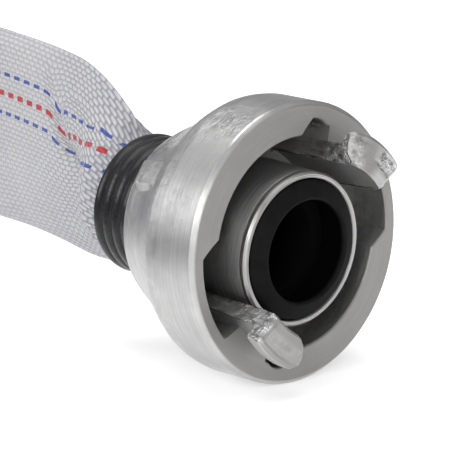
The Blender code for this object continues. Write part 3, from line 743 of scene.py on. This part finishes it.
def lug_points(side, s, fill):
    """The lug's inner wall, its top, its hook and its shank. Where there is none they lie on the floor."""
    lug = eased_window(LUG_FROM, LUG_FROM + 0.9, LUG_TO - 0.8, LUG_TO, s)
    hook = eased_window(LUG_FROM + 0.9, LUG_FROM + 1.8, LUG_TO - 1.7, LUG_TO - 0.8, s)
    first_end = 1 - ramp(LUG_FROM + 2.2, LUG_FROM + 18.0, s)
    last_end = ramp(LUG_TO - 15.0, LUG_TO - 1.7, s)
    slope = ramp(LUG_TO - 10.5, LUG_TO - 1.0, s)
    shoulder = ramp(LUG_TO - 5.0, LUG_TO - 0.2, s)
    top = LUG_TOP - 1.0 * slope**1.6 - 1.9 * (1 - math.sqrt(1 - shoulder**2))
    top -= 0.7 * (1 - ramp(LUG_FROM + 1.2, LUG_FROM + 4.5, s)) ** 2
    out = mix(LUG_OUTER, LUG_HOOK - 1.3 * ramp(LUG_TO - 7.0, LUG_TO - 1.0, s) ** 2, hook)
    # Painted shade dims the lug tops, which face up into the light. The rough patches keep their tone.
    top_painted_shade = 0.8 * ramp(46.0, 52.0, s) if side == 0 else 0.75
    at_end = max(1 - ramp(LUG_FROM + 1.5, LUG_FROM + 2.6, s), ramp(LUG_TO - 2.6, LUG_TO - 1.6, s))
    shank_end = mix(CHAMBER_BACK, 0.0, fill)
    inner_wall = leg((LUG_INNER, CHAMBER_BACK), (LUG_INNER, top - 0.5), 12)
    over_top = (
        leg((LUG_INNER, top - 0.5), (LUG_INNER + 0.5, top), 2)
        + leg((LUG_INNER + 0.5, top), (out - 0.7, top - 0.4 * slope), 9)
        + leg((out - 0.7, top - 0.4 * slope), (out, top - 0.8 - 0.6 * slope), 3)
    )
    under_hook = (
        leg((out, top - 0.8 - 0.6 * slope), (out, HOOK_Z + 0.2), 3)
        + leg((out, HOOK_Z + 0.2), (LUG_OUTER + 0.2, HOOK_Z), 4)
        + leg((LUG_OUTER + 0.2, HOOK_Z), (LUG_OUTER, HOOK_Z - 0.3), 1)
    )
    shank = leg((LUG_OUTER, HOOK_Z - 0.3), (LUG_OUTER, shank_end), 8)
    top_from = len(inner_wall)
    top_to = top_from + len(over_top)
    shank_from = top_to + len(under_hook)
    points = []
    for i, (radius, z) in enumerate(inner_wall + over_top + under_hook + shank):
        down_shank = max(0.0, (i - shank_from) / len(shank))
        floor_radius = mix(LUG_INNER, LUG_OUTER - 0.1, min(1.0, i / shank_from)) + 0.1 * down_shank
        r = mix(floor_radius, radius, lug)
        h = mix(mix(CHAMBER_BACK, shank_end, down_shank), z, lug)
        lean = first_end * pick(LEAN_START, h)
        lean += last_end * pick(LEAN_END, h) * pick(LEAN_END_BY_RADIUS, r)
        on_inner_wall = 1 if i < top_from else 0
        on_top = 1 if top_from <= i < top_to else 0
        cast = lug * max(at_end, 0.85 * on_top * lug_top_roughness(side, r, s))
        # Painted shade: darker deeper in the chamber and on the lug's inner wall, plus the dimmed top.
        painted_shade = mix(0.5, 0.0, smooth(-9.0, 1.0, h)) + 0.12 * on_inner_wall + top_painted_shade * on_top * (1 - cast)
        points.append((r, h, lean, min(1.0, cast), painted_shade))
    return points


def chamber_points(s, fill):
    """The chamber's floor, its wall and the lip, out to the face. Behind a lug they are its solid root."""
    opened = window(*OPENING, s)
    opened_radius = mix(NOTCH_START_RADIUS, NOTCH_RADIUS, smooth(68.0, 77.0, s))
    open_radius = CHAMBER_RADIUS if s < MID_LUG else opened_radius
    wall_radius = mix(CHAMBER_RADIUS, open_radius, opened)
    lip_radius = mix(LIP_RADIUS, open_radius, opened)
    lip_back = LIP_BACK + 0.4 * opened
    face_edge = RING_RADIUS - CHAMFER
    root = ROOT_RADIUS if s < MID_LUG else NOTCH_START_RADIUS
    entry_end = window(*ENTRY_END, s) * ENTRY_END_LEAN
    notch_start = window(*NOTCH_START, s) * NOTCH_START_LEAN
    rough_wall = 0.7 * window(*ROUGH_WALL, s)
    points = []
    for start, end, filled_start, filled_end, count in (
        ((LUG_OUTER, CHAMBER_BACK), (wall_radius, CHAMBER_BACK), LUG_OUTER, root, 7),
        ((wall_radius, CHAMBER_BACK), (wall_radius, LIP_BACK), root, root + 0.05, 7),
        ((wall_radius, LIP_BACK), (lip_radius, lip_back), root + 0.05, root + 0.1, 5),
        ((lip_radius, lip_back), (lip_radius, -0.25), root + 0.1, root + 0.15, 6),
        ((lip_radius, -0.25), (lip_radius + 0.25, 0.0), root + 0.15, root + 0.25, 1),
        ((lip_radius + 0.25, 0.0), (face_edge, 0.0), root + 0.25, face_edge, 8),
    ):
        for i, (radius, height) in enumerate(leg(start, end, count)):
            r = mix(radius, mix(filled_start, filled_end, i / count), fill)
            z = mix(height, 0.0, fill)
            lean = entry_end * ramp(24.4, 20.4, r) + notch_start * ramp(20.4, 24.2, r) * ramp(26.5, 24.3, r)
            inside = 1 - smooth(-5.0, -0.6, z)
            cast = max(rough_wall * inside * ramp(22.0, 23.0, r), 0.25 * inside)
            # Painted shade: the front face dimmed, and a little more inside the chamber.
            on_face = FACE_PAINTED_SHADE if z > -0.3 else 0.0
            points.append((r, z, lean, cast, max(on_face, 0.1 * inside)))
    return points


def ring_section(side, s):
    """The ring's closed profile at an angle, as (radius, z, lean in degrees, cast, painted shade) points."""
    fill = eased_window(*ROOT_FILL, s)
    return outside_points(side, s) + lug_points(side, s, fill) + chamber_points(s, fill)


def lug_top_roughness(side, radius, s):
    """The upper lug's top is rough across its middle, and the other's at its first corner."""
    across = window(19.0, 19.8, 22.2, 22.8, radius)
    if side == 0:
        return max(across * window(31.0, 34.0, 50.0, 54.0, s), 0.7 * ramp(56.0, 60.0, s))
    return max(0.8 * (1 - ramp(33.0, 38.0, s)), 0.25 * across)


def ring_turns():
    """Where the ring's sections are, as (half, angle in that half)."""
    turns = []
    for side in (0, 1):
        s = HALF_START
        while s < HALF_END - 1e-6:
            turns.append((side, s))
            step = 1.0
            for start, end, fine in FINE_SPANS:
                if start <= s < end:
                    step = fine
            s += step
    return turns


def make_lug_ring_mesh():
    noise.seed_set(SKIN_SEED)
    turns = ring_turns()
    places = []
    cast_values = []
    painted_shade_values = []
    lathe_values = []
    columns = 0
    for side, s in turns:
        section = ring_section(side, s)
        columns = len(section)
        for radius, z, lean, cast, painted_shade in section:
            angle = math.radians(s + 180.0 * side + lean)
            place = Vector((radius * math.cos(angle), radius * math.sin(angle), z))
            rough = noise.noise_vector(place * 0.5) * 0.26 + noise.noise_vector(place * 1.3) * 0.09
            place += rough * max(0.0, cast - 0.2)
            places.append(place * MM)
            cast_values.append(cast)
            painted_shade_values.append(painted_shade)
            lathe_values.append(lathe_place(radius * MM, angle, z * MM))
    faces = grid_faces(len(turns), columns, True, True)
    obj = make_object("lug_ring", places, faces, MATERIALS["cast_alloy"], 33.0)
    store(obj.data, "cast", "FLOAT", cast_values)
    store(obj.data, "painted_shade", "FLOAT", painted_shade_values)
    store(obj.data, "lathe", "FLOAT_VECTOR", lathe_values)
    return obj


# ---- turned pieces


def turned_object(name, profile, material, steps_round, sharp_deg):
    """A closed turned piece. The profile's (radius, z, painted shade) points, in mm, run down its outer side."""
    places = []
    painted_shade_values = []
    lathe_values = []
    for i in range(steps_round):
        angle = math.tau * i / steps_round
        for radius, z, painted_shade in profile:
            places.append(Vector((radius * math.cos(angle), radius * math.sin(angle), z)) * MM)
            painted_shade_values.append(painted_shade)
            lathe_values.append(lathe_place(radius * MM, angle, z * MM))
    faces = grid_faces(steps_round, len(profile), True, True)
    obj = make_object(name, places, faces, material, sharp_deg)
    store(obj.data, "painted_shade", "FLOAT", painted_shade_values)
    store(obj.data, "lathe", "FLOAT_VECTOR", lathe_values)
    return obj


def tail_profile():
    # Each point's last number is painted shade: rising down the collar and into the groove, and full in the bore.
    collar = [
        (13.9, 1.0, 0.0), (14.1, 1.25, 0.0), (14.8, 1.3, 0.0), (15.2, 0.8, 0.05), (15.2, -0.1, 0.15),
        (15.1, -0.25, 0.35), (15.2, -0.4, 0.35), (15.2, -5.0, 0.35), (15.2, -9.0, 0.4), (15.2, -12.8, 0.45),
        (14.9, -13.1, 0.5),
    ]
    groove = [(13.2, -13.1, 0.7), (13.2, -25.9, 0.6), (12.4, -25.9, 0.6), (12.4, -28.1, 0.6)]
    hub = [(13.2, -28.1, 0.3), (13.2, -28.8, 0.3), (13.0, -29.0, 0.3), (10.2, -29.0, 0.4)]
    barbs = []
    for i in range(3):
        top = (CUFF_FRONT - CUFF_LENGTH / 3 * i) / MM
        barbs += [(10.4, top, 0.5), (10.2, top - CUFF_LENGTH / MM / 3 * 0.8, 0.5)]
    bore = [(10.2, -43.5, 0.9), (8.7, -43.5, 1.0), (8.7, -20.0, 1.0), (8.7, -5.0, 1.0), (13.9, -5.0, 1.0)]
    return collar + groove + hub + barbs + bore


def gasket_profile():
    """The seal: a rounded shoulder just proud of the collar, and a face that rises to its inner lip."""
    shoulder = 1.1
    lip = 0.6
    points = []
    for i in range(9):
        angle = math.radians(12.0 + 78.0 * i / 8)
        points.append((13.7 - shoulder + shoulder * math.sin(angle), 0.8 + shoulder * math.cos(angle), 0.0))
    # The last number is painted shade: full on the seal's inner side and down its hole.
    points += [(13.7, -4.8, 0.0), (11.4, -4.8, 1.0), (11.4, 0.8, 1.0), (10.1, 1.6, 1.0)]
    for i in range(7):
        angle = math.radians(102.0 * i / 6)
        points.append((10.0 + lip - lip * math.cos(angle), 2.2 + lip * math.sin(angle), 0.0))
    return points


def sleeve_profile():
    """Ridges where the sleeve follows the wire's turns, with rolled ends."""
    front = CUFF_FRONT / MM
    back = CUFF_BACK / MM
    ridges = 5
    count = 60
    points = []
    for i in range(count + 1):
        t = i / count
        swell = abs(math.sin(math.pi * ridges * t)) ** 0.7
        end_round = 0.45 * (1 - min(1.0, min(t, 1 - t) / 0.03)) ** 2
        points.append((13.78 + 0.40 * swell - end_round, mix(front, back, t), 0.0))
    return points + [(13.55, back, 0.0), (13.55, front, 0.0)]


def lining_profile():
    front = CUFF_FRONT / MM
    back = CUFF_BACK / MM
    return [(11.05, front, 0.0), (11.2, front - 0.15, 0.0), (11.2, back + 0.15, 0.0), (11.05, back, 0.0),
            (10.6, back, 0.0), (10.6, front, 0.0)]


WIRE_RADIUS = 0.45
WIRE_TURNS = 5
WIRE_MIDDLE = 12.95
SNAP_WIRE_RADIUS = 0.8
SNAP_MIDDLE = 13.6
SNAP_Z = -27.0


def binding_points():
    """The wire wound round the jacket: a helix between the cuff's ends, in mm."""
    turns = WIRE_TURNS * 48
    margin = WIRE_RADIUS + 0.2
    points = []
    for i in range(turns + 1):
        angle = math.tau * i / 48
        z = mix(CUFF_FRONT / MM - margin, CUFF_BACK / MM + margin, i / turns)
        points.append(Vector((WIRE_MIDDLE * math.cos(angle), WIRE_MIDDLE * math.sin(angle), z)))
    return points


def snap_points():
    gap = math.radians(22.0)
    points = []
    for i in range(73):
        angle = gap / 2 + (math.tau - gap) * i / 72
        points.append(Vector((SNAP_MIDDLE * math.cos(angle), SNAP_MIDDLE * math.sin(angle), SNAP_Z)))
    return points


def wire_object(name, line, radius, material, sides=10):
    """A round wire along a line that winds about z, with rounded ends. Sizes are in mm."""
    places = []
    for i, middle in enumerate(line):
        outward = Vector((middle.x, middle.y, 0.0)).normalized()
        size = radius * (0.55 if i in (0, len(line) - 1) else 1.0)
        for j in range(sides):
            angle = math.tau * j / sides
            offset = outward * math.cos(angle) * size + Vector((0.0, 0.0, math.sin(angle) * size))
            places.append((middle + offset) * MM)
    faces = grid_faces(len(line), sides, False, True)
    faces.append(tuple(range(sides)))
    faces.append(tuple(reversed(range(len(places) - sides, len(places)))))
    return make_object(name, places, faces, material, 60.0)


def coupling_pieces(end):
    """The pieces that hang on the hose, each with its slot and the node that it stands for."""
    turned = (
        ("tail_turned", tail_profile(), "turned_alloy", "hose_tail", 128, 35.0),
        ("gasket_moulded", gasket_profile(), "seal_rubber", "gasket", 128, 35.0),
        ("sleeve_ridged", sleeve_profile(), "binding_sleeve", "binding_sleeve", 96, 60.0),
        ("lining_clamped", lining_profile(), "hose_lining", "lining_cuff", 64, 35.0),
    )
    wound = (
        ("wire_wound", binding_points(), WIRE_RADIUS, "binding_wire", "binding_wire"),
        ("snap_ring_split", snap_points(), SNAP_WIRE_RADIUS, "spring_steel", "snap_ring"),
    )
    for name, profile, slot, stands_for, steps_round, sharp_deg in turned:
        piece = turned_object(f"{end}_{name}", profile, MATERIALS[slot], steps_round, sharp_deg)
        yield piece, slot, stands_for
    for name, line, radius, slot, stands_for in wound:
        yield wire_object(f"{end}_{name}", line, radius, MATERIALS[slot]), slot, stands_for


def make_couplings():
    ring = make_lug_ring_mesh()
    for end in RINGS:
        piece = bpy.data.objects.new(f"{end}_lug_ring_cast", ring.data)
        bpy.context.scene.collection.objects.link(piece)
        settle(piece, RINGS[end], f"{end}_ring", "cast_alloy", f"{end}_lug_ring")
        for obj, slot, stands_for in coupling_pieces(end):
            settle(obj, TAILS[end], "hose", slot, f"{end}_{stands_for}")
    bpy.data.objects.remove(ring, do_unlink=True)


# ---- the hose

HOSE_SIDES = 64
# How much thicker a pinched section is, so that its girth stays the hose's.
PINCH_SWELL = 0.35
# Behind the near coupling the side that looks away from its mouth's side lies flatter.
FAR_SIDE_TUCK = 0.6
CUFF_RADIUS = 0.0123
CUFF_INNER = 0.0114
SPREAD_LENGTH = 0.003
PINCH_START = 0.005
PINCH_FADE = (0.020, 0.050)
PLEATS = 17
PLEAT_DEPTH = 0.00045
PLEAT_FADE = 0.007
RUMPLE_DEPTH = 0.00045
COIL_WAVE = 0.0004
# How far behind each cuff the coil's even lie begins, and over what length.
NEAR_LOOSE = 0.12
FAR_LOOSE = 0.10
LOOSE_FADE = 0.05
CREASED_UNTIL = 0.09
# The rings' spacing from a coupling on: up to a length, how far apart they are.
NEAR_SPACING = (0.05, 0.0008)
END_SPACING = (0.20, 0.0025)
COIL_SPACING = 0.0125


def spiral_place(along):
    """Where a length along the spiral lies, from its outer end: its angle and radius."""
    pitch_rate = (LAST_TURN_RADIUS - FIRST_TURN_RADIUS) / (TURNS * math.tau)
    # The radius falls evenly with the angle, so the length is a quadratic in the angle.
    angle = (LAST_TURN_RADIUS - math.sqrt(LAST_TURN_RADIUS**2 - 2 * pitch_rate * along)) / pitch_rate
    return math.pi / 2 + angle, LAST_TURN_RADIUS - pitch_rate * angle


def near_arch(along):
    """The height of the hose's middle behind the near coupling: up with the tail, then over a low arch."""
    behind_pivot = TAIL_PIVOT - CUFF_FRONT + min(along, CUFF_LENGTH)
    behind_cuff = max(0.0, along - CUFF_LENGTH)
    lift = math.sin(TAIL_DROOP) * behind_pivot
    return NEAR_FACE.z + lift + NEAR_RISE * (1 - math.exp(-behind_cuff / RISE_LENGTH))


def route(along):
    """The hose's middle and heading at a length from the near coupling's cuff."""
    if along < NEAR_LEAD:
        x = NEAR_LEAD - along
        z = mix(near_arch(along), ROLL_MIDDLE_Z, 1 - smooth(DROP_END_X, DROP_START_X, x))
        return ROLL_CENTRE + Vector((x, LAST_TURN_RADIUS, z)), math.pi
    if along < NEAR_LEAD + SPIRAL_LENGTH:
        angle, radius = spiral_place(along - NEAR_LEAD)
        middle = Vector((radius * math.cos(angle), radius * math.sin(angle), ROLL_MIDDLE_Z))
        return ROLL_CENTRE + middle, angle + math.pi / 2
    left = HOSE_LENGTH - along
    settled = smooth(0.0, SETTLED_AFTER, left - CUFF_LENGTH)
    lift = math.sin(TAIL_DROOP) * (TAIL_PIVOT - CUFF_FRONT + min(left, CUFF_LENGTH))
    z = mix(FAR_FACE.z + lift, ROLL_MIDDLE_Z, settled)
    if left > FAR_LEAD:
        angle = math.pi / 2 - (left - FAR_LEAD) / BEND_RADIUS
        turn = Vector((math.cos(angle), math.sin(angle), 0.0)) * BEND_RADIUS
        return ROLL_CENTRE + BEND_CENTRE + turn + Vector((0, 0, z)), angle + math.pi / 2
    x = BEND_START_X - (FAR_LEAD - left)
    return ROLL_CENTRE + Vector((x, BEND_CENTRE.y + BEND_RADIUS, z)), math.pi


def flattened(amount, full_width):
    """Width and thickness where a round hose has flattened by this much, at its own girth."""
    width = mix(HOSE_OUTSIDE, full_width, amount)
    return width, (GIRTH - 2 * width) / (math.pi - 2)


def section_size(along):
    """The section's width and thickness at a length along the hose, and how far its edges are pinched."""
    free = along - CUFF_LENGTH
    left = HOSE_LENGTH - along - CUFF_LENGTH
    if free < 0 or left < 0:
        return 2 * CUFF_RADIUS, 2 * CUFF_RADIUS, 0.0
    near_amount = math.sin(math.pi / 2 * min(1.0, free / NEAR_FLAT_AFTER))
    far_amount = smooth(0.0, FLAT_AFTER, left)
    full_width = mix(NEAR_WIDTH, HOSE_WIDTH, smooth(NEAR_LEAD - DROP_START_X, NEAR_LEAD - DROP_END_X, along))
    width, thickness = flattened(min(near_amount, far_amount), full_width)
    from_end = min(free, left)
    spread = ramp(0.0, SPREAD_LENGTH, from_end)
    pinch = eased_window(0.0, PINCH_START, *PINCH_FADE, from_end)
    thickness *= 1 + PINCH_SWELL * pinch
    return mix(2 * CUFF_RADIUS, width, spread), mix(2 * CUFF_RADIUS, thickness, spread), pinch


def half_thickness(u, width, thickness, pinch):
    """Half the section's thickness at a height: round-edged, or running out to a fold at top and bottom."""
    past_flat = max(0.0, abs(u) - (width - thickness) / 2) / (thickness / 2)
    rounded = thickness / 2 * math.sqrt(max(0.0, 1 - past_flat**2))
    pinched = thickness / 2 * max(0.0, 1 - (2 * u / width) ** 2)
    return mix(rounded, pinched, pinch)


def outline(width, thickness, pinch):
    """The section's points, evenly spaced along its outline from its top towards its right side."""
    fine = 2 * HOSE_SIDES
    edge = []
    for i in range(fine + 1):
        u = width / 2 * math.cos(math.pi * i / fine)
        edge.append(Vector((half_thickness(u, width, thickness, pinch), u)))
    reached = [0.0]
    for first, second in zip(edge, edge[1:]):
        reached.append(reached[-1] + (second - first).length)
    side = []
    k = 0
    for i in range(HOSE_SIDES // 2 + 1):
        wanted = reached[-1] * i / (HOSE_SIDES // 2)
        while k < fine - 1 and reached[k + 1] < wanted:
            k += 1
        side.append(edge[k].lerp(edge[k + 1], (wanted - reached[k]) / (reached[k + 1] - reached[k])))
    return side + [Vector((-place.x, place.y)) for place in reversed(side[1:-1])]


# Creases in the cloth behind a coupling: from and to (length behind the cuff, length round from the top),
# with each one's depth and half width.
CREASES = (
    ((0.0262, 0.0055), (0.0234, 0.0108), 0.0013, 0.0018),
    ((0.0234, 0.0108), (0.0209, 0.0169), 0.0025, 0.0017),
    ((0.0209, 0.0169), (0.0183, 0.0205), 0.0026, 0.0019),
    ((0.0183, 0.0205), (0.0150, 0.0235), 0.0023, 0.0023),
    ((0.0150, 0.0235), (0.0159, 0.0290), 0.0017, 0.0028),
    ((0.0159, 0.0290), (0.0188, 0.0360), 0.0011, 0.0032),
    ((0.0188, 0.0082), (0.0068, 0.0101), 0.0009, 0.0012),
    ((0.0068, 0.0101), (0.0017, 0.0050), 0.0010, 0.0012),
    ((0.0076, 0.0170), (0.0027, 0.0234), 0.0008, 0.0014),
)


def crease_depth(free, part):
    depth = 0.0
    for (x0, p0), (x1, p1), deep, half in CREASES:
        start = Vector((x0, p0))
        run = Vector((x1, p1)) - start
        here = Vector((free, part * GIRTH)) - start
        t = min(1.0, max(0.0, here.dot(run) / run.length_squared))
        distance = (here - run * t).length
        depth = max(depth, deep * math.exp(-((distance / half) ** 2)))
    return depth


def station_lengths():
    """Lengths along the hose where its rings are: close behind the couplings, and wider apart in the coil."""
    lengths = []
    along = 0.0
    while along < HOSE_LENGTH - 1e-9:
        lengths.append(along)
        from_end = min(along, HOSE_LENGTH - along)
        if from_end > END_SPACING[0]:
            along += COIL_SPACING
        else:
            along += NEAR_SPACING[1] if along < NEAR_SPACING[0] else END_SPACING[1]
    lengths.append(HOSE_LENGTH)
    return lengths


def ring_offsets(along):
    """The hose's outline at a length, as (across, up) offsets, with its creases, pleats and rumples."""
    free = along - CUFF_LENGTH
    left = HOSE_LENGTH - along - CUFF_LENGTH
    from_end = min(free, left)
    coil = min(1.0, max(0.0, min(free - NEAR_LOOSE, left - FAR_LOOSE) / LOOSE_FADE))
    lift = COIL_WAVE * coil * noise.noise(Vector((along * 2.3, 0.0, 7.0)))
    tuck = 1 - FAR_SIDE_TUCK * eased_window(0.0, SPREAD_LENGTH, *PINCH_FADE, free)
    pleat_depth = PLEAT_DEPTH * math.exp(-from_end / PLEAT_FADE) if from_end > 0 else 0.0
    offsets = []
    for i, place in enumerate(outline(*section_size(along))):
        part = i / HOSE_SIDES
        outward = place.normalized()
        a, u = place
        if a < 0:
            a *= tuck
        push = pleat_depth * math.cos(math.tau * PLEATS * part + 2.0 * math.sin(math.tau * 3 * part))
        if 0 < free < CREASED_UNTIL:
            push -= crease_depth(free, part)
        if from_end > 0:
            rumple = noise.noise(Vector((along * 55.0, part * 9.0, 3.0))) * RUMPLE_DEPTH * abs(outward.x)
            push += rumple * (1 - coil) * smooth(0.0, 0.02, from_end)
        offsets.append((a + outward.x * push, u + outward.y * push + lift))
    return offsets


def make_hose():
    lengths = station_lengths()
    path = []
    points = []
    row_values = []
    around_values = []
    strip_values = []
    rings = []
    up = Vector((0.0, 0.0, 1.0))
    for along in lengths:
        middle, heading = route(along)
        across = Vector((-math.sin(heading), math.cos(heading), 0.0))
        path.append(middle)
        rings.append(range(len(points), len(points) + HOSE_SIDES))
        points += [middle + across * a + up * u for a, u in ring_offsets(along)]
        row_values += [weave_row(along)] * HOSE_SIDES
    faces = []
    for first, second, along, after in zip(rings, rings[1:], lengths, lengths[1:]):
        for i in range(HOSE_SIDES):
            j = (i + 1) % HOSE_SIDES
            faces.append((first[i], first[j], second[j], second[i]))
            corners = ((along, i), (along, i + 1), (after, i + 1), (after, i))
            around_values += [column / HOSE_SIDES * GIRTH for _, column in corners]
            strip_values += [strip_place(at, column / HOSE_SIDES) for at, column in corners]
    lining_from = len(faces)
    for end, ring in (("near", rings[0]), ("far", rings[-1])):
        faces += closed_end(end, ring, points)
    row_values += [0.0] * (len(points) - len(row_values))
    lining_corners = sum(len(face) for face in faces[lining_from:])
    around_values += [0.0] * lining_corners
    strip_values += [1.0] * lining_corners
    hose = make_object("hose_woven", points, faces, MATERIALS["woven_jacket"], 60.0)
    hose.data.materials.append(MATERIALS["hose_lining"])
    for polygon in hose.data.polygons[lining_from:]:
        polygon.material_index = 1
    store(hose.data, "row", "FLOAT", row_values)
    store(hose.data, "around", "FLOAT", around_values, "CORNER")
    store(hose.data, "strip", "FLOAT", strip_values, "CORNER")
    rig.ride(hose, "hose")
    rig.slot(hose, "woven_jacket")
    stretches = ("hose_near_stretch", "hose_roll", "hose_far_stretch")
    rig.replaces(hose, *stretches, "near_jacket_cuff", "far_jacket_cuff")
    return hose, path


# How far round the first tracer runs, by length behind the cuff: the fold shifts it.
TRACER_WANDER = (
    (0.0, 0.0045), (0.0025, 0.0062), (0.0067, 0.0081), (0.0108, 0.0107), (0.0145, 0.0119), (0.0193, 0.0124),
    (0.0225, 0.0114), (0.0248, 0.0100),
)


def weave_row(along):
    """How many rows of knuckles lie before a length: they are drawn longer behind the coupling."""
    return along / KNUCKLE_LENGTH - DRAWN_ROWS * smooth(0.0, DRAWN_LENGTH, along - CUFF_LENGTH)


def strip_place(along, part):
    """How far round a point is from the first tracer, which wanders a little behind the near coupling."""
    return part * GIRTH - pick(TRACER_WANDER, along - CUFF_LENGTH)


def closed_end(end, ring, points):
    """Carries the hose's cut end in along the shank and closes it behind the tail."""
    depth_steps = ((CUFF_INNER, CUFF_FRONT), (CUFF_INNER, CUFF_BACK - 0.0008), (0.0060, CUFF_BACK - 0.0010))
    place = TAILS[end]
    faces = []
    last = ring
    turn_from = place.inverted()
    for radius, z in depth_steps:
        new = []
        for index in ring:
            local = turn_from @ points[index]
            angle = math.atan2(local.y, local.x)
            new.append(len(points))
            points.append(place @ Vector((radius * math.cos(angle), radius * math.sin(angle), z)))
        for i in range(HOSE_SIDES):
            j = (i + 1) % HOSE_SIDES
            quad = (last[i], new[i], new[j], last[j])
            faces.append(quad if end == "near" else tuple(reversed(quad)))
        last = new
    faces.append(tuple(last) if end == "near" else tuple(reversed(last)))
    return faces


# ---- the tie strap

TIE_WIDTH = 0.020
TIE_THICKNESS = 0.0012
TIE_CORNER = 0.0025
TIE_BEAD = 0.0012
TIE_SPACING = 0.003


def strap_route(low, high, corner):
    """Points round a rounded rectangle in the x, z plane, inside a strap's box."""
    inset = TIE_THICKNESS / 2
    left, right = low.x + inset, high.x - inset
    bottom, top = low.z + inset, high.z - inset
    corners = (
        (right - corner, top - corner, 0.0),
        (left + corner, top - corner, 90.0),
        (left + corner, bottom + corner, 180.0),
        (right - corner, bottom + corner, 270.0),
    )
    points = []
    for x, z, start in corners:
        for i in range(7):
            angle = math.radians(start + 15.0 * i)
            points.append(Vector((x + corner * math.cos(angle), 0.0, z + corner * math.sin(angle))))
    return points


def make_strap():
    """The strap drawn tight round the whole roll, with a bead along each edge."""
    low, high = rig.box("tie_strap")
    middle_y = (low.y + high.y) / 2
    route_points = strap_route(low, high, TIE_CORNER)
    dense = []
    for first, second in zip(route_points, route_points[1:] + route_points[:1]):
        count = max(1, int((second - first).length / TIE_SPACING))
        dense += [first.lerp(second, i / count) for i in range(count)]
    half = TIE_WIDTH / 2
    thick = TIE_THICKNESS / 2
    bead = TIE_BEAD
    side_up = [
        (-half, 0.3 * thick), (-half + 0.3 * bead, thick), (-half + bead, 0.8 * thick), (0.0, 0.8 * thick),
        (half - bead, 0.8 * thick), (half - 0.3 * bead, thick), (half, 0.3 * thick),
    ]
    section = [(y, -out) for y, out in side_up] + side_up[::-1]
    points = []
    along_values = []
    around_values = []
    along = 0.0
    for i, place in enumerate(dense):
        after = dense[(i + 1) % len(dense)]
        heading = (after - dense[i - 1]).normalized()
        outward = Vector((heading.z, 0.0, -heading.x))
        for y, out in section:
            points.append(place + outward * out + Vector((0.0, middle_y + y, 0.0)))
            along_values.append(along)
            around_values.append(y)
        along += (after - place).length
    faces = grid_faces(len(dense), len(section), True, True)
    strap = make_object("tie_strap_webbing", points, faces, MATERIALS["tie_webbing"], 50.0, flip=True)
    store(strap.data, "along", "FLOAT", along_values)
    store(strap.data, "around", "FLOAT", around_values)
    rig.ride(strap, "hose")
    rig.slot(strap, "tie_webbing")
    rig.replaces(strap, "tie_strap")
    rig.sheet(strap, flat=(TIE_WIDTH, along), held="stretched", rests_on=["hose_woven"])
    return strap


# ---- everything

make_camera()
make_studio()
make_couplings()
hose, hose_path = make_hose()
make_strap()

FAR_PIECES = (
    "far_lug_ring_cast", "far_tail_turned", "far_gasket_moulded", "far_sleeve_ridged", "far_lining_clamped",
    "far_wire_wound", "far_snap_ring_split",
)
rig.cord(
    hose,
    exit=hose_path[0],
    length=HOSE_LENGTH,
    diameter=HOSE_OUTSIDE,
    far_end="fitting",
    stiffness="limp",
    lay="coiled",
    path=hose_path,
    with_pieces=FAR_PIECES,
)

sizes = {"cad": [list(corner) for corner in CAD_BOX], "visual": [list(corner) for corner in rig.bounds()]}
with open("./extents.json", "w") as file:
    json.dump(sizes, file)
